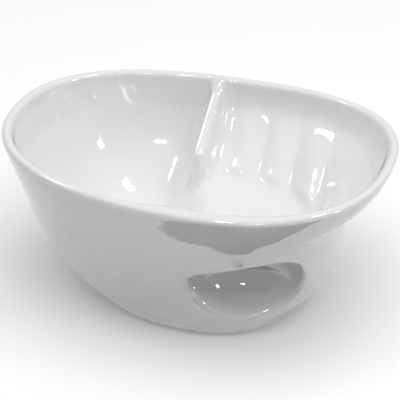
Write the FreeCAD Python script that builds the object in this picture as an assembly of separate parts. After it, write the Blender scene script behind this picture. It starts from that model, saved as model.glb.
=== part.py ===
"""Chip and dip server: a one-handed porcelain bowl with a deep dip well and a raised chip shelf.

Millimetres, +Z up. The origin is the middle of the footprint, on the table.
+X points to the chip-shelf end and -Y to the side with the thumb pocket.

The bowl is one fired piece. It is built here from the parts that are joined before firing:
an outside skin, an inside skin, the divider, the thumb pocket and the foot ring.
"""
import FreeCAD
import Part
import os
from math import cos, pi, sin

Vector = FreeCAD.Vector

# ---- Driving dimensions ------------------------------------------------------------------
LENGTH = 203.0            # over the rim, along X
WIDTH = 149.0             # over the rim, along Y
RIM_HEIGHT = 88.0         # table to the mean height of the rim
RIM_SADDLE = 1.8          # the rim ends rise, and its sides fall, by this much
RIM_SQUARENESS = 2.37     # exponent of the oval: 2 is an ellipse, more is squarer
EGG = 0.06                # how much wider the shelf half is than the well half

SHELL_WALL = 2.75         # outside skin
DISH_WALL = 2.75          # inside skin, where it lines the outside skin
FLOOR_WALL = 3.5          # inside skin where it stands free over the hollow
BASE_WALL = 3.75          # outside skin, under the hollow
LIP_ROUND = 1.2           # radius on the outer and the inner edge of the lip

FOOT_HEIGHT = 1.5         # foot ring, below the body
FOOT_WIDTH = 5.0
FOOT_INSET = 5.0          # from the edge of the flat underside

WELL_FLOOR = 14.0         # height of the dip well's floor
WELL_FLAT = 0.42          # the flat of its floor, as a share of the full oval
SHELF_FLOOR = 43.0        # height of the chip shelf's floor
SHELF_LEFT = 14.0         # reach of the flat shelf floor from the origin, each way
SHELF_RIGHT = 58.0
SHELF_FRONT = 4.0
SHELF_BACK = 33.0
SHELF_BACK_RISE = 44.0    # height over which the back and end slopes would turn upright
SHELF_FRONT_RISE = 72.0   # the same for the front slope, which covers the thumb pocket
SHELF_EASE = 0.8          # shape of the slopes: 0.5 is a quarter round, 1 is a parabola

RAMP_TOP = -1.0           # X of the shelf's edge in the middle, where the ramp to the well starts
RAMP_RADIUS = 70.0        # the edge is an arc around the well, and the ramp is part of a cone
RAMP_RUN = 24.0           # how far the ramp reaches towards the well
RAMP_LEAN = 30.0          # above the shelf, the well's side leans this far the other way
DIVIDER_X = -11.0
DIVIDER_THICKNESS = 5.0
DIVIDER_NOSE = 30.0       # Y of the divider's free end
DIVIDER_BACK_DROP = 4.0   # its crest starts this far under the rim
DIVIDER_NOSE_DROP = 29.0  # and ends this far under it
DIVIDER_ROUND = 0.45      # radius of its edges, as a share of its thickness

FINGER_PITCH = 19.5       # a finger's width and a little room
FINGER_COUNT = 3
FINGER_FIRST = 10.0       # X of the first finger groove
FINGER_RADIUS = 9.0
FINGER_DEPTH = 2.6        # of the outside grooves, at their lower end
FINGER_FADE = 0.3         # share of that depth that is left at their upper end
FINGER_LOW = 0.16         # the ends of the grooves, as shares of the rim height
FINGER_HIGH = 0.72
RIB_HEIGHT = 1.8          # of the ribs that the fingers leave on the shelf's back slope
RIB_LOW = 0.08            # the ends of the ribs, as shares of the slope's rise
RIB_HIGH = 0.52

POCKET_X = 39.5           # middle of the thumb pocket, an egg that opens through the front wall
POCKET_BELOW = 4.5        # its middle lies this far under the shelf's floor
POCKET_IN = 9.5           # and this far inside the wall
POCKET_WIDTH = 63.0
POCKET_HEIGHT = 42.0
POCKET_DEPTH = 22.0       # from its middle to its deepest point
POCKET_TURN = 15.0        # degrees that it is turned to follow the wall
POCKET_WALL = 3.0

VENT_DIAMETER = 5.0       # lets the hollow breathe in the kiln

# The bowl's outline from the underside to the rim: share of the height, then the reach to the
# left, to the right, and to each side, as shares of the rim's own reach.
OUTLINE = (
    (0.00, 0.44, 0.555, 0.63),
    (0.06, 0.54, 0.58, 0.69),
    (0.15, 0.68, 0.66, 0.72),
    (0.28, 0.775, 0.735, 0.78),
    (0.42, 0.83, 0.755, 0.855),
    (0.56, 0.87, 0.75, 0.93),
    (0.70, 0.91, 0.785, 0.97),
    (0.84, 0.96, 0.935, 0.985),
    (1.00, 1.00, 1.00, 1.00),
    (1.10, 1.02, 1.04, 1.00),
)

# ---- Worked out from the driving dimensions ----------------------------------------------
HALF_LENGTH = LENGTH / 2
HALF_WIDTH = WIDTH / 2
BODY_HEIGHT = RIM_HEIGHT - FOOT_HEIGHT
RING_POINTS = 32
OVERRUN = 4.0                         # forms run this far past the rim or wall that trims them
TOP = RIM_HEIGHT + RIM_SADDLE + OVERRUN
WALL = SHELL_WALL + DISH_WALL
BASE_INSIDE = FOOT_HEIGHT + BASE_WALL
WELL_RISE = RIM_HEIGHT / 2            # the well's rounded bottom ends this far above its floor
RAMP_SLOPE = (SHELF_FLOOR - WELL_FLOOR) / RAMP_RUN
POCKET_Z = SHELF_FLOOR - POCKET_BELOW


def outer_reach(z):
    """Left, right and side reach of the outside at height z."""
    share = (z - FOOT_HEIGHT) / BODY_HEIGHT
    rows = OUTLINE
    below = max(i for i in range(len(rows) - 1) if rows[i][0] <= max(share, 0) or i == 0)
    low, high = rows[below], rows[below + 1]
    t = (share - low[0]) / (high[0] - low[0])
    left, right, side = (low[k] + t * (high[k] - low[k]) for k in (1, 2, 3))
    return left * HALF_LENGTH, right * HALF_LENGTH, side * HALF_WIDTH


def reach_each_way(z):
    left, right, side = outer_reach(z)
    return left, right, side, side


def ring(z, left, right, front, back):
    """Control points of an egg-shaped oval at height z, given its reach each way."""
    swell = 3 / (2 + cos(2 * pi / RING_POINTS))   # a cubic spline runs inside its points
    points = []
    for i in range(RING_POINTS):
        a = 2 * pi * i / RING_POINTS
        c, s = cos(a), sin(a)
        power = 2 / RIM_SQUARENESS
        x = abs(c) ** power * (right if c > 0 else -left)
        y = abs(s) ** power * (back if s > 0 else -front)
        y *= 1 + EGG * c
        points.append(Vector(x * swell, y * swell, z))
    return points


def spline_solid(rings, seam=0):
    """A closed solid whose side is one smooth surface over a stack of level rings.

    seam is the point where each ring starts: forms that cross have theirs in different places.
    """
    rows = len(rings)
    around = [(i + seam) % RING_POINTS for i in range(RING_POINTS)]
    poles = [[rings[j][i] for j in range(rows)] for i in around]
    side = Part.BSplineSurface()
    side.buildFromPolesMultsKnots(
        poles,
        [1] * (RING_POINTS + 1),
        [4] + [1] * (rows - 4) + [4],
        list(range(RING_POINTS + 1)),
        list(range(rows - 2)),
        True, False, 3, 3)
    side = side.toShape()
    ends = [e for e in side.Edges if e.isClosed() and abs(e.BoundBox.ZLength) < 1e-6]
    caps = [Part.Face(Part.Wire([e])) for e in ends]
    solid = Part.Solid(Part.Shell([side] + caps))
    solid.fix(1e-5, 1e-5, 1e-4)               # turns all the faces outward
    return solid


def levels(low, high, count):
    """Heights from low to high, closer together near the low end."""
    return [low + (high - low) * (i / (count - 1)) ** 1.5 for i in range(count)]


def body(inset, floor):
    """The outside form, drawn in by inset and cut off level at floor."""
    return spline_solid([ring(z, *(r - inset for r in reach_each_way(z)))
                         for z in levels(floor, TOP, 14)])


def well(grow):
    """The dip well's rounded form. Its upper part runs past the wall, to be trimmed to it."""
    floor = WELL_FLOOR - (FLOOR_WALL if grow else 0)
    rings = []
    for z in levels(floor, TOP, 16):
        rise = min((z - floor) / WELL_RISE, 1)
        full = WELL_FLAT + (1 - WELL_FLAT) * (1 - (1 - rise) ** 2) ** 0.5
        rings.append(ring(z, *((r + OVERRUN - WALL) * full + grow for r in reach_each_way(z))))
    return spline_solid(rings, seam=8)


def shelf_reach(z, floor):
    """The shelf's reach each way at height z: flat at its floor, then an ever steeper slope."""
    starts = (SHELF_LEFT, SHELF_RIGHT, SHELF_FRONT, SHELF_BACK)
    rises = (SHELF_BACK_RISE, SHELF_BACK_RISE, SHELF_FRONT_RISE, SHELF_BACK_RISE)
    reach = []
    for start, rise, full in zip(starts, rises, reach_each_way(z)):
        s = min((z - floor) / rise, 1)
        end = full + 2 * OVERRUN - WALL
        reach.append(start + (end - start) * (1 - (1 - s) ** 2) ** SHELF_EASE)
    return reach


def shelf(grow):
    """The chip shelf's form, down to its floor. Its upper part runs past the wall too."""
    floor = SHELF_FLOOR - (FLOOR_WALL if grow else 0)
    return spline_solid([ring(z, *(r + grow for r in shelf_reach(z, floor)))
                         for z in levels(floor, TOP, 16)], seam=20)


def back_y(x, right, back):
    """Y of an oval's back edge at x."""
    return back * (1 + EGG * x / right) * (1 - (x / right) ** RIM_SQUARENESS) ** (1 / RIM_SQUARENESS)


def well_side(shift):
    """Everything on the well's side of the ramp; shift moves the ramp towards the shelf."""
    middle = RAMP_TOP - RAMP_RADIUS
    edge = RAMP_RADIUS + shift
    low = WELL_FLOOR - FLOOR_WALL - OVERRUN
    high = TOP + OVERRUN
    outline = [
        Vector(middle, 0, low),
        Vector(middle + edge - (SHELF_FLOOR - low) / RAMP_SLOPE, 0, low),
        Vector(middle + edge, 0, SHELF_FLOOR),
        Vector(middle + edge + RAMP_LEAN, 0, high),
        Vector(middle, 0, high),
    ]
    face = Part.Face(Part.makePolygon(outline + outline[:1]))
    return face.revolve(Vector(middle, 0, 0), Vector(0, 0, 1), 360)


def bar(start, end, radius):
    """A round bar with ball ends."""
    axis = end - start
    solid = Part.makeCylinder(radius, axis.Length, start, axis)
    for p in (start, end):
        solid = solid.fuse(Part.makeSphere(radius, p))
    return solid.removeSplitter()


def rim_trim():
    """The space above the saddle-shaped rim."""
    sheet = Part.BezierSurface()
    sheet.increase(2, 2)
    reach = LENGTH
    square = (reach ** 2, -reach ** 2, reach ** 2)     # control values of a parabola
    for i in range(3):
        for j in range(3):
            rise = square[i] / HALF_LENGTH ** 2 - square[j] / HALF_WIDTH ** 2
            z = RIM_HEIGHT + RIM_SADDLE * rise
            sheet.setPole(i + 1, j + 1, Vector((i - 1) * reach, (j - 1) * reach, z))
    return sheet.toShape().extrude(Vector(0, 0, 6 * RIM_HEIGHT))


def round_lip(solid, outside):
    """Round the outer or the inner edge of a skin's top face."""
    top = max(solid.Faces, key=lambda f: f.CenterOfMass.z)
    edges = sorted(top.OuterWire.Edges if outside else
                   [e for w in top.Wires if not w.isSame(top.OuterWire) for e in w.Edges],
                   key=lambda e: e.Length)
    return solid.makeFillet(LIP_ROUND, edges)


def finger_places():
    return [FINGER_FIRST + i * FINGER_PITCH for i in range(FINGER_COUNT)]


def finger_grooves(grow):
    """Round bars laid up the back wall, sunk by the groove depth and fading out under the rim."""
    bars = []
    for x in finger_places():
        ends = []
        for share, sink in ((FINGER_LOW, FINGER_DEPTH), (FINGER_HIGH, FINGER_FADE * FINGER_DEPTH)):
            z = share * RIM_HEIGHT
            right, side = outer_reach(z)[1:]
            ends.append(Vector(x, back_y(x, right, side) + FINGER_RADIUS - sink, z))
        bars.append(bar(ends[0], ends[1], FINGER_RADIUS + grow))
    return bars


def finger_ribs():
    """Round bars laid down the shelf's back slope, standing proud of it by the rib height."""
    bars = []
    for x in finger_places():
        ends = []
        for climb in (RIB_LOW, RIB_HIGH):
            z = SHELF_FLOOR + climb * SHELF_BACK_RISE
            reach = shelf_reach(z, SHELF_FLOOR)
            ends.append(Vector(x, back_y(x, reach[1], reach[3]), z))
        into_wall = (ends[1] - ends[0]).cross(Vector(1, 0, 0)).normalize()
        if into_wall.z > 0:
            into_wall = into_wall * -1
        sink = into_wall * (FINGER_RADIUS - RIB_HEIGHT)
        bars.append(bar(ends[0] + sink, ends[1] + sink, FINGER_RADIUS))
    return bars


def pocket(grow):
    """The thumb pocket's hollow, an egg lying under the shelf."""
    right, side = outer_reach(POCKET_Z)[1:]
    wall_y = -back_y(POCKET_X, right, side)
    size = Vector(POCKET_WIDTH / 2 + grow, POCKET_DEPTH + grow, POCKET_HEIGHT / 2 + grow)
    stretch = FreeCAD.Matrix()
    stretch.scale(size)
    egg = Part.makeSphere(1.0).transformGeometry(stretch)
    egg.rotate(Vector(0, 0, 0), Vector(0, 0, 1), POCKET_TURN)
    egg.translate(Vector(POCKET_X, wall_y + POCKET_IN, POCKET_Z))
    return egg


def divider_slab():
    """A wall along Y whose crest falls from the back rim to a rounded nose."""
    far_y = HALF_WIDTH + OVERRUN
    inner_y = HALF_WIDTH - WALL
    back_z = RIM_HEIGHT - RIM_SADDLE - DIVIDER_BACK_DROP
    nose_z = RIM_HEIGHT - DIVIDER_NOSE_DROP
    fall = (back_z - nose_z) / (inner_y - DIVIDER_NOSE)
    left = DIVIDER_X - DIVIDER_THICKNESS / 2
    outline = [
        Vector(left, DIVIDER_NOSE, WELL_FLOOR),
        Vector(left, DIVIDER_NOSE, nose_z),
        Vector(left, far_y, back_z + fall * (far_y - inner_y)),
        Vector(left, far_y, WELL_FLOOR),
    ]
    face = Part.Face(Part.makePolygon(outline + outline[:1]))
    slab = face.extrude(Vector(DIVIDER_THICKNESS, 0, 0))
    edges = []
    for e in slab.Edges:
        box = e.BoundBox
        long_way = box.XLength < 1e-6
        crest = long_way and box.YLength > 1 and box.ZLength > 1
        nose = long_way and box.YLength < 1e-6 and abs(box.YMin - DIVIDER_NOSE) < 1e-6
        if crest or nose:
            edges.append(e)
    return slab.makeFillet(DIVIDER_ROUND * DIVIDER_THICKNESS, edges)


def foot():
    """The ring that the bowl stands on."""
    ovals = []
    for inset in (FOOT_INSET, FOOT_INSET + FOOT_WIDTH):
        reach = [r - inset for r in reach_each_way(FOOT_HEIGHT)]
        ovals.append(spline_solid([ring(step * FOOT_HEIGHT / 3, *reach) for step in range(4)]))
    return ovals[0].cut(ovals[1])


def build():
    trim = rim_trim()
    outside = body(0, FOOT_HEIGHT)
    middle = body(SHELL_WALL, BASE_INSIDE)
    thumb = pocket(0)
    thumb_outer = pocket(POCKET_WALL)
    grooves = finger_grooves(0)
    groove_backs = finger_grooves(SHELL_WALL)
    middle = middle.cut(groove_backs)
    inside = body(WALL, FOOT_HEIGHT + WALL)
    hollow = well(0).common(well_side(0)).fuse(shelf(0)).common(inside).cut(finger_ribs())
    thick = well(FLOOR_WALL).common(well_side(FLOOR_WALL)).fuse(shelf(FLOOR_WALL))

    vent_x = outer_reach(FOOT_HEIGHT)[1] / 2
    vent = Part.makeCylinder(VENT_DIAMETER / 2, BASE_INSIDE * 2, Vector(vent_x, 0, 0))

    shell = outside.cut(grooves).cut(middle).cut(thumb_outer).cut(vent).cut(trim)
    dish = middle.common(thick).cut(hollow).cut(thumb_outer).cut(trim)
    divider = divider_slab().common(hollow)
    socket = thumb_outer.cut(thumb).common(outside)
    return {
        "outer_shell": round_lip(shell, True),
        "inner_dish": round_lip(dish, False),
        "divider_wall": divider,
        "thumb_pocket": socket,
        "foot_ring": foot(),
    }


os.makedirs("parts", exist_ok=True)
for name, shape in build().items():
    print(name, shape.isValid(), len(shape.Solids), round(shape.Volume / 1000, 1), "cm3", shape.BoundBox)
    shape.exportStep("parts/" + name + ".step")
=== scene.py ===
# %% [markdown]
# # A porcelain chip and dip server
# The server is one piece of glazed porcelain: a deep well for the dip, a raised shelf for the
# chips, a short wall between them, and a thumb pocket in front so that one hand can carry it.
# The CAD model is loaded first. It fixes every size, and each piece made here stays inside it.

# %% Load the CAD frame
import bpy
from math import cos, pi, radians, sin
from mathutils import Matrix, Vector


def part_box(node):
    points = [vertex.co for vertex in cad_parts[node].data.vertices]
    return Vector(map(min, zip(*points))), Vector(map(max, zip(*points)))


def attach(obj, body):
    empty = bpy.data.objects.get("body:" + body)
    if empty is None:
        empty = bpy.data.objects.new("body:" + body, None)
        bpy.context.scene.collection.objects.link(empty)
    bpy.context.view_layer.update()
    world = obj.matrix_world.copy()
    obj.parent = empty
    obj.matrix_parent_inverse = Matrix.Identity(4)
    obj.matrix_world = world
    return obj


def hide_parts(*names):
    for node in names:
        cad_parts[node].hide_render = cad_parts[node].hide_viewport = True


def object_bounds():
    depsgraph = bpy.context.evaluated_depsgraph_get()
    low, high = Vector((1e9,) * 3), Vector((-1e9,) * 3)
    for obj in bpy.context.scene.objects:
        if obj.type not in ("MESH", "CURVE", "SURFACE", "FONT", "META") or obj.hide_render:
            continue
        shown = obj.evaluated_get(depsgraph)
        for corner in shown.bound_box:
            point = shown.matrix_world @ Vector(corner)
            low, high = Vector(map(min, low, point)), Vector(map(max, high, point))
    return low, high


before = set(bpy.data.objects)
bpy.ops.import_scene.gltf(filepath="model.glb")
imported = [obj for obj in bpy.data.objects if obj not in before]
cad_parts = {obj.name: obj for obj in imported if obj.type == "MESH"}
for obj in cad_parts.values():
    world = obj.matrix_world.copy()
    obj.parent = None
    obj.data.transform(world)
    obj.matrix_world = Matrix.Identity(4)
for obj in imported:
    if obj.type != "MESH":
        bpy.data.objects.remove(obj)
cad_box = [list(corner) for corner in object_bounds()]
MM = 0.001
print("CAD box, mm:", [[round(v / MM, 1) for v in corner] for corner in cad_box])

# %% [markdown]
# ## Arithmetic that writes nodes
# A glazed pot has no hard edges: slip and glaze round every join. Pushing vertices about by hand
# gives lumps that a gloss glaze shows at once. So the pot is described by a distance field, a
# number at each point in space that is below zero inside the clay. Two fields join with a smooth
# minimum, which leaves a fillet like the one that a wet sponge leaves. Geometry Nodes can
# evaluate such a field and skin it, and this helper lets the field be written as plain sums.

# %% A term is a number or a vector that comes out of a node
class Term:
    """A node's output that plain arithmetic can be done with."""

    def __init__(self, tree, socket):
        self.tree = tree
        self.socket = socket

    def math(self, operation, *others):
        node = self.tree.nodes.new("ShaderNodeMath")
        node.operation = operation
        for slot, value in zip(node.inputs, (self, *others)):
            feed(self.tree, slot, value)
        return Term(self.tree, node.outputs[0])

    def __add__(self, other):
        return self.math("ADD", other)

    def __sub__(self, other):
        return self.math("SUBTRACT", other)

    def __mul__(self, other):
        return self.math("MULTIPLY", other)

    def __truediv__(self, other):
        return self.math("DIVIDE", other)

    def __pow__(self, other):
        return self.math("POWER", other)

    def __neg__(self):
        return self * -1.0

    def __rsub__(self, other):
        return (self * -1.0) + other

    __radd__ = __add__
    __rmul__ = __mul__


def feed(tree, slot, value):
    """Put a term or a plain number into a socket."""
    if isinstance(value, Term):
        tree.links.new(value.socket, slot)
    else:
        slot.default_value = value


print("node arithmetic is ready")


# %% Ways to join two fields
def larger(a, b):
    return a.math("MAXIMUM", b)


def smaller(a, b):
    return a.math("MINIMUM", b)


def soft_larger(a, b, blend):
    return a.math("SMOOTH_MAX", b, blend)


def soft_smaller(a, b, blend):
    return a.math("SMOOTH_MIN", b, blend)


def length(*parts):
    total = parts[0] * parts[0]
    for part in parts[1:]:
        total = total + part * part
    return total.math("SQRT")


def between(value, start, stop):
    """0 at start, 1 at stop, with an eased ramp from one to the other."""
    node = value.tree.nodes.new("ShaderNodeMapRange")
    node.interpolation_type = "SMOOTHSTEP"
    feed(value.tree, node.inputs["Value"], value)
    feed(value.tree, node.inputs["From Min"], start)
    feed(value.tree, node.inputs["From Max"], stop)
    return Term(value.tree, node.outputs[0])


def mixed(a, b, share):
    """a where the share is 0, b where it is 1."""
    return share * (b - a) + a


print("fields can be joined hard or soft")

# %% [markdown]
# ## The sizes
# The clay has the same kinds of size as the CAD model, in millimetres, and most have the same
# values. A few differ: the ribs are higher, the well's wall curves further up, the divider comes
# closer to the rim and the pocket is a little different in place and shape. The rim's own sizes
# come from the CAD box, less a little room. The outline rows say how far the pot reaches to the
# left, to the right and to each side at a share of its height.

# %% Sizes of the pot, in millimetres
low, high = (Vector(corner) / MM for corner in cad_box)
foot_high = Vector(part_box("foot_ring")[1]) / MM
END_ROOM = 0.2                      # between the rim and the CAD box at each end
SIDE_ROOM = 0.4                     # and at each side
SADDLE = 1.8                        # the rim is this much higher at its ends, and lower at its sides

SIZES = {
    "Half Length": (high.x - low.x) / 2 - END_ROOM,
    "Half Width": (high.y - low.y) / 2 - SIDE_ROOM,
    "Rim Height": high.z - SADDLE,
    "Rim Saddle": SADDLE,
    "Foot Height": foot_high.z,
    "Wall": 5.5,
    "Well Floor": 14.0,
    "Well Rise": 60.0,
    "Shelf Floor": 43.0,
    "Back Rise": 44.0,
    "Front Rise": 72.0,
    "Ramp Top": -1.0,
    "Ramp Radius": 70.0,
    "Ramp Run": 24.0,
    "Divider X": -11.0,
    "Divider Thickness": 5.0,
    "Divider Nose": 30.0,
    "Nose Drop": 29.0,
    "Back Drop": 1.5,
    "Finger Pitch": 19.5,
    "Finger First": 10.0,
    "Groove Depth": 2.6,
    "Rib Height": 4.8,
    "Pocket X": 40.5,
    "Pocket Y": -49.8,
    "Pocket Z": 38.5,
    "Pocket Width": 62.0,
    "Pocket Height": 43.0,
    "Pocket Depth": 22.0,
    "Pocket Turn": radians(15.0),
}
print("rim", round(2 * SIZES["Half Length"]), "x", round(2 * SIZES["Half Width"]), "mm")

# %% The outline, from the foot up
OUTLINE = (                         # share of the height, then the reach left, right and to a side
    (0.00, 0.450, 0.560, 0.640),
    (0.06, 0.535, 0.580, 0.695),
    (0.15, 0.681, 0.662, 0.720),
    (0.28, 0.774, 0.735, 0.778),
    (0.42, 0.829, 0.755, 0.855),
    (0.56, 0.871, 0.750, 0.928),
    (0.64, 0.890, 0.760, 0.953),
    (0.71, 0.910, 0.798, 0.970),
    (0.78, 0.935, 0.866, 0.982),
    (0.86, 0.965, 0.948, 0.991),
    (0.96, 0.996, 0.998, 0.998),
    (1.10, 1.000, 1.005, 1.000),
)
SQUARENESS = 2.37                   # 2 is an ellipse, more is squarer
EGG = 0.06                          # the shelf end is this much fuller than the well end
print("the outline has", len(OUTLINE), "rows")

# %% [markdown]
# ## Ovals and curves
# Seen from above, the pot is an oval that is squarer than an ellipse and fuller at the shelf's end.
# One function gives how far such an oval reaches in any direction. The outline is read as a smooth
# curve over the height, because straight runs between its rows would show as bands in the glaze.


# %% Read the outline and the ovals
def read_curve(share, column):
    """One column of the outline, as a smooth curve over the height."""
    tree = share.tree
    node = tree.nodes.new("ShaderNodeFloatCurve")
    curve = node.mapping.curves[0]
    top = OUTLINE[-1][0]
    widest = max(row[column] for row in OUTLINE)
    for row in OUTLINE[1:-1]:
        curve.points.new(row[0] / top, row[column] / widest)
    curve.points[0].location = (0.0, OUTLINE[0][column] / widest)
    curve.points[-1].location = (1.0, OUTLINE[-1][column] / widest)
    node.mapping.update()
    feed(tree, node.inputs["Value"], share / top)
    return Term(tree, node.outputs[0]) * widest


NOT_ZERO = 0.001                    # keeps the pot's own axis from dividing by zero


def oval_reach(x, y, left, right, front, back):
    """How far an egg-shaped oval reaches in the direction of (x, y)."""
    u = x / mixed(left, right, x.math("GREATER_THAN", 0.0))
    v = y / (mixed(front, back, y.math("GREATER_THAN", 0.0)) * (1.0 + smaller(u, 1.0) * EGG))
    q = (u.math("ABSOLUTE") ** SQUARENESS + v.math("ABSOLUTE") ** SQUARENESS) ** (1 / SQUARENESS)
    return (length(x, y) + NOT_ZERO) / (q + NOT_ZERO / 100)


print("ovals and curves are ready")

# %% [markdown]
# ## The finger grooves and the outside
# The fingers of the hand that holds the bowl lie in three grooves behind. The same wave gives the
# grooves outside and the ribs on the shelf's back slope, so the two always line up.

# %% Grooves and the outside
FINGERS = 3
ROW_FADE = 0.1                      # how fast the row starts and stops, as a share of the pitch
GROOVE_STARTS = (8.0, 22.0)         # heights over which the grooves fade in
GROOVE_STOPS = (50.0, 68.0)         # and out again
FOOT_ROUND = 2.0


def finger_wave(x, y, size):
    """1 along the middle of each finger, near 0 between fingers and in front."""
    turn = (x - size["Finger First"]) / size["Finger Pitch"]
    wave = (turn * (2 * pi)).math("COSINE") * 0.5 + 0.5
    row_start = -0.5
    row_stop = FINGERS - 0.5
    row = (between(turn, row_start - ROW_FADE, row_start + ROW_FADE)
           * (1.0 - between(turn, row_stop - ROW_FADE, row_stop + ROW_FADE)) * between(y, 0.0, 12.0))
    return (larger(wave, 0.0) + 0.02) ** 0.5 * row


def outside(z, radius, reach, fingers, size):
    """The grooved side by itself, and the whole outside with its foot."""
    groove = fingers * between(z, *GROOVE_STARTS) * (1.0 - between(z, *GROOVE_STOPS))
    side = radius - reach + groove * size["Groove Depth"]
    return side, soft_larger(side, size["Foot Height"] - z, FOOT_ROUND)


print(FINGERS, "finger grooves,", SIZES["Finger Pitch"], "mm apart")

# %% [markdown]
# ## The dip well
# The well is the pot's own oval drawn in by the wall and rounded to its floor. A cone round an axis
# at the well's end stops it short of the shelf, and that cone is the ramp.

# %% The well
WELL_FLAT = 0.42                    # share of the well's oval that is flat floor
WELL_ROUND = 14.0
RAMP_ROUND = 6.0
RAMP_OPENS = 0.55                   # how much wider the cone gets for each millimetre above the shelf
RAMP_STEEPNESS = 0.77               # turns the distance along the floor into one square to the ramp


def dip_well(x, y, z, radius, reach, size):
    rise = larger(smaller((z - size["Well Floor"]) / size["Well Rise"], 1.0), 0.0)
    full = WELL_FLAT + (1.0 - WELL_FLAT) * ((1.0 - (1.0 - rise) ** 2.0).math("SQRT"))
    well = soft_larger(radius - (reach - size["Wall"]) * full, size["Well Floor"] - z, WELL_ROUND)
    drop = size["Shelf Floor"] - size["Well Floor"]
    below = larger(size["Shelf Floor"] - z, 0.0)
    above = larger(z - size["Shelf Floor"], 0.0)
    edge = size["Ramp Radius"] - below * (size["Ramp Run"] / drop) + above * RAMP_OPENS
    from_axis = length(x - size["Ramp Top"] + size["Ramp Radius"], y)
    return soft_larger(well, (from_axis - edge) * RAMP_STEEPNESS, RAMP_ROUND)


print("the well is", SIZES["Shelf Floor"] - SIZES["Well Floor"], "mm deeper than the shelf")

# %% [markdown]
# ## The chip shelf
# The shelf is a shallower dish. Its flat is not centred: it runs far to the right and stops close
# behind the front rim, so each direction climbs to the rim at its own rate.

# %% The shelf
SHELF_REACH = (14.0, 58.0, 4.0, 33.0)    # the flat of the shelf: left, right, front, back
SHELF_EASE = 0.8
SHELF_ROUND = 12.0
RIB_STARTS = (43.0, 50.0)           # heights over which the ribs fade in
RIB_STOPS = (54.0, 80.0)            # and out again
PAST_WALL = 2.0                     # the dish runs this far into the wall, which then cuts it off
PAST_WALL_MORE = 6.0                # and this much further near the rim
PAST_WALL_HEIGHTS = (62.0, 84.0)


def chip_shelf(x, y, z, radius, ways_out, inner_wall, fingers, size):
    past = PAST_WALL + PAST_WALL_MORE * between(z, *PAST_WALL_HEIGHTS)
    ways = []
    for start, end, rise in zip(SHELF_REACH, ways_out,
                                ("Back Rise", "Back Rise", "Front Rise", "Back Rise")):
        climb = larger(smaller((z - size["Shelf Floor"]) / size[rise], 1.0), 0.0)
        ease = (1.0 - (1.0 - climb) ** 2.0) ** SHELF_EASE
        ways.append(mixed(start, end - size["Wall"] + past, ease))
    shelf = radius - oval_reach(x, y, *ways)
    rib = fingers * between(z, *RIB_STARTS) * (1.0 - between(z, *RIB_STOPS))
    shelf = soft_larger(shelf + rib * size["Rib Height"], size["Shelf Floor"] - z, SHELF_ROUND)
    return soft_larger(shelf, inner_wall, SHELF_ROUND)


print("the shelf's flat is", sum(SHELF_REACH[:2]), "x", sum(SHELF_REACH[2:]), "mm")

# %% [markdown]
# ## Lip, divider and thumb pocket
# A potter finishes the rim by rounding it, luts the divider in and opens the pocket. They come in
# that order here too. The divider's fillet fades out towards the outer skin, or it would raise a
# bump there. The pocket keeps a crisp upper edge and gets a soft roll on the well's side.

# %% The rounded lip
def with_lip(pot, level, size):
    """The same wall, with both edges of its top rounded by half its thickness."""
    round_by = size["Wall"] * 0.5
    over = larger(level - (size["Rim Height"] - round_by), 0.0)
    lip = length(larger(pot + round_by, 0.0), over) - round_by
    return mixed(pot, lip, over.math("GREATER_THAN", 0.0))


print("the lip is rounded by", SIZES["Wall"] / 2, "mm")

# %% The divider
DIVIDER_LEAN = 0.08                 # how far the divider leans towards the shelf as it goes down
DIVIDER_SPREAD = 0.13               # how much it thickens each way as it goes down
DIVIDER_ROUND = 4.0
DIVIDER_FILLET = 10.0
SKIN_ROUND = 2.0
DIVIDER_ENDS_IN_WALL = 0.6          # share of the wall that the divider's back end stays behind
FILLET_FADES = (-0.9, -0.25)        # shares of the wall, in from the outer skin


def with_divider(pot, x, y, level, side, body, size):
    wall = size["Wall"]
    thick = size["Divider Thickness"] * 0.5
    nose = smaller(y - (size["Divider Nose"] + thick), 0.0)
    run = size["Half Width"] - wall - size["Divider Nose"]
    fall = (size["Nose Drop"] - size["Back Drop"]) / run
    crest = size["Rim Height"] - size["Nose Drop"] + (y - size["Divider Nose"]) * fall
    deep = larger(crest - level, 0.0)
    plan = length(x - size["Divider X"] - deep * DIVIDER_LEAN, nose) - thick - deep * DIVIDER_SPREAD
    divider = soft_larger(soft_larger(plan, level - crest, DIVIDER_ROUND),
                          body + wall * DIVIDER_ENDS_IN_WALL, SKIN_ROUND)
    inside = 1.0 - between(side, *(wall * share for share in FILLET_FADES))
    return soft_smaller(pot, divider, DIVIDER_FILLET * inside + 0.01)


print("the divider is", SIZES["Divider Thickness"], "mm thick at its crest")

# %% The thumb pocket
POCKET_LEFT_SHARE = 0.41            # share of the width that lies left of the pocket's middle
POCKET_EDGE = 2.2                   # blend at the crisp upper edge
POCKET_LOW_EDGE = 4.0               # more blend at the lower lip
POCKET_LOW_HEIGHTS = (20.0, 42.0)
POCKET_ROLL = 18.0                  # more blend at the end beside the well
POCKET_ROLL_RUN = (-36.0, -4.0)


def with_pocket(pot, x, y, z, size):
    far_x = x - size["Pocket X"]
    far_y = y - size["Pocket Y"]
    turn_cos = size["Pocket Turn"].math("COSINE")
    turn_sin = size["Pocket Turn"].math("SINE")
    along = far_x * turn_cos + far_y * turn_sin
    half = size["Pocket Width"] * mixed(0.5, POCKET_LEFT_SHARE, along.math("LESS_THAN", 0.0))
    scoop = length(along / half,
                   (far_y * turn_cos - far_x * turn_sin) / size["Pocket Depth"],
                   (z - size["Pocket Z"]) / (size["Pocket Height"] * 0.5))
    scoop = (scoop - 1.0) * (size["Pocket Height"] * 0.5)
    soft = (POCKET_EDGE + POCKET_LOW_EDGE * (1.0 - between(z, *POCKET_LOW_HEIGHTS))
            + POCKET_ROLL * (1.0 - between(along, *POCKET_ROLL_RUN)))
    return soft_larger(pot, -scoop, soft)


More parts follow.
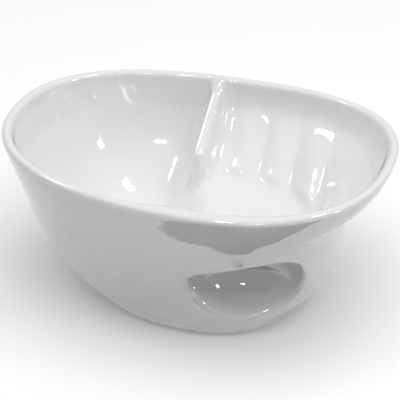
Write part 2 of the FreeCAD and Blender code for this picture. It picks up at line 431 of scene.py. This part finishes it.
print("the pocket is", SIZES["Pocket Width"], "x", SIZES["Pocket Height"], "mm")

# %% [markdown]
# ## The whole pot as one field
# The parts above are put together here. The rim is saddle-shaped, so a level is used that follows
# it: the lip and the divider's crest then keep their distance from the rim all the way round.

# %% Put the field together
HOLLOWS_BLEND = 9.0                 # the well and the shelf run into each other over this


def clay(x, y, z, size):
    """Distance to the clay's surface in millimetres, below zero inside the clay."""
    saddle = size["Rim Saddle"] * ((x / size["Half Length"]) ** 2.0 - (y / size["Half Width"]) ** 2.0)
    level = z - saddle * between(z, size["Rim Height"] * 0.5, size["Rim Height"])
    share = (level - size["Foot Height"]) / (size["Rim Height"] - size["Foot Height"])
    left, right = (read_curve(share, column) * size["Half Length"] for column in (1, 2))
    front = read_curve(share, 3) * size["Half Width"]
    ways_out = (left, right, front, front)
    reach = oval_reach(x, y, *ways_out)
    radius = length(x, y)
    fingers = finger_wave(x, y, size)
    side, body = outside(z, radius, reach, fingers, size)

    inner_wall = radius - reach + size["Wall"]
    well = dip_well(x, y, z, radius, reach, size)
    shelf = chip_shelf(x, y, z, radius, ways_out, inner_wall, fingers, size)
    hollow = larger(soft_smaller(well, shelf, HOLLOWS_BLEND), inner_wall)

    pot = with_lip(larger(body, -hollow), level, size)
    pot = with_divider(pot, x, y, level, side, body, size)
    return with_pocket(pot, x, y, z, size)


def add_size_inputs(tree):
    """Each size becomes a named input of the tree."""
    for name, value in SIZES.items():
        item = tree.interface.new_socket(name, in_out="INPUT", socket_type="NodeSocketFloat")
        item.default_value = value


def clay_group():
    """The field as a node group, with a place and the sizes as named inputs."""
    tree = bpy.data.node_groups.new("clay_field", "GeometryNodeTree")
    tree.interface.new_socket("Place", in_out="INPUT", socket_type="NodeSocketVector")
    add_size_inputs(tree)
    tree.interface.new_socket("Distance", in_out="OUTPUT", socket_type="NodeSocketFloat")
    start = tree.nodes.new("NodeGroupInput")
    end = tree.nodes.new("NodeGroupOutput")
    split = tree.nodes.new("ShaderNodeSeparateXYZ")
    tree.links.new(start.outputs["Place"], split.inputs[0])
    x, y, z = (Term(tree, out) for out in split.outputs)
    size = {name: Term(tree, start.outputs[name]) for name in SIZES}
    tree.links.new(clay(x, y, z, size).socket, end.inputs["Distance"])
    print("the clay field has", len(tree.nodes), "nodes")
    return tree


clay_tree = clay_group()

# %% [markdown]
# ## Skinning the field
# Volume Cube samples the field on a lattice and Volume to Mesh lays quads where it crosses zero.
# The lattice only finds the surface roughly, so each vertex then takes two steps along the
# field's slope and lands on the real surface. That is what keeps the reflections calm.

# %% The tree that makes the pot
LATTICE = 1.25                      # millimetres between samples
MARGIN = 3.0                        # millimetres of empty space round the pot
SLOPE_REACH = 0.3                   # millimetres each way in which the slope is measured
STEPS = 2
NOT_FLAT = 0.0001                   # keeps a flat spot of the field from dividing by zero


def skin_tree(material):
    tree = bpy.data.node_groups.new("pot_skin", "GeometryNodeTree")
    tree.interface.new_socket("Geometry", in_out="INPUT", socket_type="NodeSocketGeometry")
    add_size_inputs(tree)
    lattice = tree.interface.new_socket("Lattice", in_out="INPUT", socket_type="NodeSocketFloat")
    lattice.default_value = LATTICE
    tree.interface.new_socket("Geometry", in_out="OUTPUT", socket_type="NodeSocketGeometry")
    start = tree.nodes.new("NodeGroupInput")
    end = tree.nodes.new("NodeGroupOutput")

    def vector_math(operation, *values):
        node = tree.nodes.new("ShaderNodeVectorMath")
        node.operation = operation
        slots = [node.inputs[0], node.inputs[3] if operation == "SCALE" else node.inputs[1]]
        for slot, value in zip(slots, values):
            feed(tree, slot, value)
        return Term(tree, node.outputs[1] if operation == "DOT_PRODUCT" else node.outputs[0])

    def field_at(place):
        group = tree.nodes.new("GeometryNodeGroup")
        group.node_tree = clay_tree
        feed(tree, group.inputs["Place"], place)
        for name in SIZES:
            tree.links.new(start.outputs[name], group.inputs[name])
        return Term(tree, group.outputs["Distance"])

    def place_in_mm():
        position = tree.nodes.new("GeometryNodeInputPosition")
        return vector_math("SCALE", Term(tree, position.outputs[0]), 1 / MM)

    def slope_at(place):
        combine = tree.nodes.new("ShaderNodeCombineXYZ")
        for axis in range(3):
            nudge = Vector((0.0, 0.0, 0.0))
            nudge[axis] = SLOPE_REACH
            change = (field_at(vector_math("ADD", place, nudge))
                      - field_at(vector_math("SUBTRACT", place, nudge)))
            tree.links.new((change / (2 * SLOPE_REACH)).socket, combine.inputs[axis])
        return Term(tree, combine.outputs[0])

    cube = tree.nodes.new("GeometryNodeVolumeCube")
    corners = [low - Vector((MARGIN,) * 3), high + Vector((MARGIN,) * 3)]
    cube.inputs["Min"].default_value = corners[0] * MM
    cube.inputs["Max"].default_value = corners[1] * MM
    pitch = Term(tree, start.outputs["Lattice"])
    for axis, name in enumerate(("Resolution X", "Resolution Y", "Resolution Z")):
        count = (pitch * 0.0 + (corners[1] - corners[0])[axis]) / pitch
        tree.links.new(count.socket, cube.inputs[name])
    inside = 1.0 - field_at(place_in_mm())
    tree.links.new(inside.socket, cube.inputs["Density"])
    skin = tree.nodes.new("GeometryNodeVolumeToMesh")
    skin.resolution_mode = "GRID"
    skin.inputs["Threshold"].default_value = 1.0
    tree.links.new(cube.outputs["Volume"], skin.inputs["Volume"])
    mesh = skin.outputs["Mesh"]

    for step in range(STEPS):
        place = place_in_mm()
        here = field_at(place)
        slope = slope_at(place)
        steepness = vector_math("DOT_PRODUCT", slope, slope) + NOT_FLAT
        move = vector_math("SCALE", slope, here / steepness * (-MM))
        settle = tree.nodes.new("GeometryNodeSetPosition")
        tree.links.new(mesh, settle.inputs["Geometry"])
        tree.links.new(move.socket, settle.inputs["Offset"])
        mesh = settle.outputs["Geometry"]

    smooth = tree.nodes.new("GeometryNodeSetShadeSmooth")
    tree.links.new(mesh, smooth.inputs["Geometry"])
    realize = tree.nodes.new("GeometryNodeRealizeInstances")
    tree.links.new(smooth.outputs["Geometry"], realize.inputs["Geometry"])
    coat = tree.nodes.new("GeometryNodeSetMaterial")
    coat.inputs["Material"].default_value = material
    tree.links.new(realize.outputs["Geometry"], coat.inputs["Geometry"])
    tree.links.new(coat.outputs["Geometry"], end.inputs["Geometry"])
    print("the skin tree has", len(tree.nodes), "nodes")
    return tree


# %% Run a tree once and keep its mesh
def grow(name, tree):
    """Run a tree on an empty mesh and keep the result as a plain mesh."""
    blank = bpy.data.objects.new(name + "_seed", bpy.data.meshes.new(name + "_seed"))
    bpy.context.scene.collection.objects.link(blank)
    modifier = blank.modifiers.new("grow", "NODES")
    modifier.node_group = tree
    for item in tree.interface.items_tree:
        if item.in_out == "INPUT" and item.socket_type == "NodeSocketFloat":
            modifier[item.identifier] = item.default_value
    graph = bpy.context.evaluated_depsgraph_get()
    mesh = bpy.data.meshes.new_from_object(blank.evaluated_get(graph))
    bpy.data.objects.remove(blank)
    mesh.name = name
    piece = bpy.data.objects.new(name, mesh)
    bpy.context.scene.collection.objects.link(piece)
    print(name, "has", len(mesh.vertices), "vertices and", len(mesh.polygons), "faces")
    return piece


print("a tree can be run and kept")

# %% [markdown]
# ## Glaze and bare porcelain
# Poured glaze is never quite flat or quite even: it is a little wavy, its colour drifts, and it is
# duller in patches. The foot is wiped clean before firing, so it is bare, rougher and warmer in
# colour. Both are one recipe with other numbers, worked out from the object's own coordinates.

# %% Node helpers for the materials
def shader_node(tree, kind, values=None, **settings):
    node = tree.nodes.new(kind)
    for name, value in settings.items():
        setattr(node, name, value)
    for name, value in (values or {}).items():
        node.inputs[name].default_value = value
    return node


def noise(tree, place, size_mm, detail):
    node = shader_node(tree, "ShaderNodeTexNoise", {"Scale": 1.0 / (size_mm * MM), "Detail": detail})
    tree.links.new(place, node.inputs["Vector"])
    return node.outputs["Fac"]


NOISE_RANGE = (0.3, 0.7)            # where nearly all of a noise texture's values lie


def spread(tree, value, low_out, high_out):
    """Stretch a noise so that it runs from one value to the other."""
    node = shader_node(tree, "ShaderNodeMapRange", {
        "From Min": NOISE_RANGE[0], "From Max": NOISE_RANGE[1], "To Min": low_out, "To Max": high_out})
    tree.links.new(value, node.inputs["Value"])
    return node.outputs["Result"]


print("material helpers are ready")

# %% The porcelain recipe
COLOUR_DRIFT = (22.0, 3.0)          # each noise: size of its patches in millimetres, and detail
DULL_PATCHES = (9.0, 4.0)
WAVES = (17.0, 1.0)
GRAIN = (0.9, 2.0)
GLAZE_IOR = 1.7
COAT_ROUGHNESS = 0.03


def porcelain(name, pale, dark, smooth, rough, wave_mm, grain_mm, coat):
    """Fired porcelain: a mottled colour, a patchy roughness and two sizes of bump."""
    material = bpy.data.materials.new(name)
    material.use_nodes = True
    tree = material.node_tree
    shader = tree.nodes["Principled BSDF"]
    place = tree.nodes.new("ShaderNodeTexCoord").outputs["Object"]
    mix = shader_node(tree, "ShaderNodeMix", data_type="RGBA")
    mix.inputs[6].default_value = dark
    mix.inputs[7].default_value = pale
    tree.links.new(spread(tree, noise(tree, place, *COLOUR_DRIFT), 0.0, 1.0), mix.inputs["Factor"])
    tree.links.new(mix.outputs[2], shader.inputs["Base Color"])
    patches = noise(tree, place, *DULL_PATCHES)
    tree.links.new(spread(tree, patches, smooth, rough), shader.inputs["Roughness"])
    waves = shader_node(tree, "ShaderNodeBump", {"Strength": 1.0, "Distance": wave_mm * MM})
    tree.links.new(noise(tree, place, *WAVES), waves.inputs["Height"])
    grain = shader_node(tree, "ShaderNodeBump", {"Strength": 1.0, "Distance": grain_mm * MM})
    tree.links.new(noise(tree, place, *GRAIN), grain.inputs["Height"])
    tree.links.new(waves.outputs["Normal"], grain.inputs["Normal"])
    tree.links.new(grain.outputs["Normal"], shader.inputs["Normal"])
    shader.inputs["IOR"].default_value = GLAZE_IOR
    shader.inputs["Coat Weight"].default_value = coat
    shader.inputs["Coat Roughness"].default_value = COAT_ROUGHNESS
    shader.inputs["Coat IOR"].default_value = GLAZE_IOR
    print(name, "has", len(tree.nodes), "nodes")
    return material


glaze = porcelain("glazed_porcelain", pale=(0.815, 0.815, 0.83, 1), dark=(0.79, 0.79, 0.81, 1),
                  smooth=0.05, rough=0.11, wave_mm=0.45, grain_mm=0.004, coat=1.0)
bare = porcelain("bare_porcelain", pale=(0.80, 0.78, 0.74, 1), dark=(0.70, 0.67, 0.62, 1),
                 smooth=0.55, rough=0.75, wave_mm=0.10, grain_mm=0.05, coat=0.0)

# %% [markdown]
# ## The foot ring
# The ring that the pot stands on is a plain ring, and the CAD model's own is the right shape. So
# it is kept and only gets the bare material.

# %% Put the bare porcelain on the foot ring
foot_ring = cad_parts["foot_ring"]
foot_ring.data.materials.clear()
foot_ring.data.materials.append(bare)
print("the foot ring has", bare.name)

# %% [markdown]
# ## The pot
# The tree is run once. Its mesh stands for the four CAD pieces that the glaze hides, and it rides
# on the same body as they do.

# %% Grow the pot
pot = grow("glazed_pot", skin_tree(glaze))
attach(pot, "root")
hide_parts("outer_shell", "inner_dish", "divider_wall", "thumb_pocket")

# %% [markdown]
# ## The floor
# White glaze shows its surroundings more than itself, so they matter as much as it does. The pot
# stands on a large white sheet that has no edge in view. It lights nothing else, because a white
# floor's glow would wash out the shade under the rim.

# %% A white sheet
FLOOR_HALF = 3.0                    # metres
FLOOR_WHITE = 0.95
FLOOR_ROUGHNESS = 0.9
floor_mesh = bpy.data.meshes.new("floor")
floor_corners = [(-FLOOR_HALF, -FLOOR_HALF, 0), (FLOOR_HALF, -FLOOR_HALF, 0),
                 (FLOOR_HALF, FLOOR_HALF, 0), (-FLOOR_HALF, FLOOR_HALF, 0)]
floor_mesh.from_pydata(floor_corners, [], [(0, 1, 2, 3)])
floor = bpy.data.objects.new("floor", floor_mesh)
bpy.context.scene.collection.objects.link(floor)
white = bpy.data.materials.new("paper_white")
white.use_nodes = True
paper = white.node_tree.nodes["Principled BSDF"]
paper.inputs["Base Color"].default_value = (FLOOR_WHITE, FLOOR_WHITE, FLOOR_WHITE, 1)
paper.inputs["Roughness"].default_value = FLOOR_ROUGHNESS
floor.data.materials.append(white)
floor.visible_diffuse = False
print("the floor is", 2 * FLOOR_HALF, "m across")

# %% [markdown]
# ## The light
# A big soft light overhead and an even white surround do the lighting. A gloss glaze also needs
# small bright shapes to mirror, or it looks like matt plastic. The small lamps are only for that:
# they show in the glaze and light nothing else.

# %% The surround
world = bpy.data.worlds.new("studio")
bpy.context.scene.world = world
world.use_nodes = True
world.node_tree.nodes["Background"].inputs["Color"].default_value = (1, 1, 1, 1)
world.node_tree.nodes["Background"].inputs["Strength"].default_value = 0.50
print("the surround is even and white")


# %% Soft boxes
def soft_box(name, azimuth, elevation, distance, width, depth, power):
    """An area light that faces the pot. Azimuth 0 is in front, 90 is at the shelf's end."""
    light = bpy.data.lights.new(name, "AREA")
    light.shape = "RECTANGLE"
    light.size = width
    light.size_y = depth
    light.energy = power
    lamp = bpy.data.objects.new(name, light)
    a, e = radians(azimuth), radians(elevation)
    out = Vector((sin(a) * cos(e), -cos(a) * cos(e), sin(e)))
    lamp.location = out * distance
    lamp.rotation_euler = out.to_track_quat("Z", "Y").to_euler()
    bpy.context.scene.collection.objects.link(lamp)
    return lamp


overhead = soft_box("overhead", 40, 76, distance=1.6, width=2.0, depth=2.0, power=26.0)
overhead.visible_glossy = False

LAMP_DISTANCE = 1.3                 # metres
LAMP_POWER = 60.0                   # watts for each square metre of lamp
SMALL_LAMPS = (                     # name, azimuth, elevation, width and depth in metres
    ("right_lamp_low", 78, 30, 0.10, 0.16),
    ("right_lamp_high", 74, 58, 0.16, 0.14),
    ("front_lamp_low", 18, 38, 0.14, 0.06),
    ("front_lamp_high", -4, 56, 0.12, 0.10),
    ("left_lamp", -88, 55, 0.10, 0.18),
)
for lamp_name, azimuth, elevation, width, depth in SMALL_LAMPS:
    power = LAMP_POWER * width * depth
    small = soft_box(lamp_name, azimuth, elevation, LAMP_DISTANCE, width, depth, power)
    small.visible_diffuse = False
print("one overhead light and", len(SMALL_LAMPS), "small lamps")

# %% [markdown]
# ## Dark cards
# A white pot on a white floor has no edges of its own, so black cards draw them. Both cards are
# hidden from the camera and cast no shadow. One lies on the table and is only mirrored: its bent near edge
# gives the dark shape under the front rim. The other stands in front and only takes away light.

# %% Two dark cards
def dark_card(name, corners_mm, in_the_glaze):
    mesh = bpy.data.meshes.new(name)
    mesh.from_pydata([Vector(corner) * MM for corner in corners_mm], [],
                     [tuple(range(len(corners_mm)))])
    card = bpy.data.objects.new(name, mesh)
    bpy.context.scene.collection.objects.link(card)
    card.data.materials.append(black)
    card.visible_camera = False
    card.visible_shadow = False
    card.visible_diffuse = not in_the_glaze
    card.visible_glossy = in_the_glaze


black = bpy.data.materials.new("black_card")
black.use_nodes = True
black_paper = black.node_tree.nodes["Principled BSDF"]
black_paper.inputs["Base Color"].default_value = (0.01, 0.01, 0.012, 1)
black_paper.inputs["Roughness"].default_value = 1.0
TABLE_EDGE = ((-35, -154), (23, -131), (49, -96), (60, -79), (128, -84),
              (220, -88), (220, -900), (-80, -900))
TABLE_CARD_HEIGHT = 1               # millimetres, just clear of the floor
FRONT_HALF, FRONT_Y, FRONT_TOP = 1800, -1300, 1500
dark_card("table_card", [(x, y, TABLE_CARD_HEIGHT) for x, y in TABLE_EDGE], True)
dark_card("front_card", [(-FRONT_HALF, FRONT_Y, 0), (FRONT_HALF, FRONT_Y, 0),
                         (FRONT_HALF, FRONT_Y, FRONT_TOP), (-FRONT_HALF, FRONT_Y, FRONT_TOP)], False)
print("two dark cards, one of them in the glaze")

# %% [markdown]
# ## The camera
# A long lens from some way off keeps the oval from looking stretched. It looks down into both
# hollows and still sees the thumb pocket.

# %% Camera
CAMERA_AZIMUTH = radians(18.96)
CAMERA_ELEVATION = radians(31.1)
CAMERA_AIM = Vector((-0.00136, 0.00774, 0.045))
CAMERA_DISTANCE = 0.840
camera_data = bpy.data.cameras.new("camera")
camera_data.lens = 144
camera_data.sensor_width = 36
camera = bpy.data.objects.new("camera", camera_data)
back = Vector((sin(CAMERA_AZIMUTH) * cos(CAMERA_ELEVATION),
               -cos(CAMERA_AZIMUTH) * cos(CAMERA_ELEVATION), sin(CAMERA_ELEVATION)))
camera.location = CAMERA_AIM + back * CAMERA_DISTANCE
camera.rotation_euler = back.to_track_quat("Z", "Y").to_euler()
bpy.context.scene.collection.objects.link(camera)
bpy.context.scene.camera = camera
bpy.context.scene.view_settings.view_transform = "Standard"
print("the camera is", CAMERA_DISTANCE, "m away with a", camera_data.lens, "mm lens")
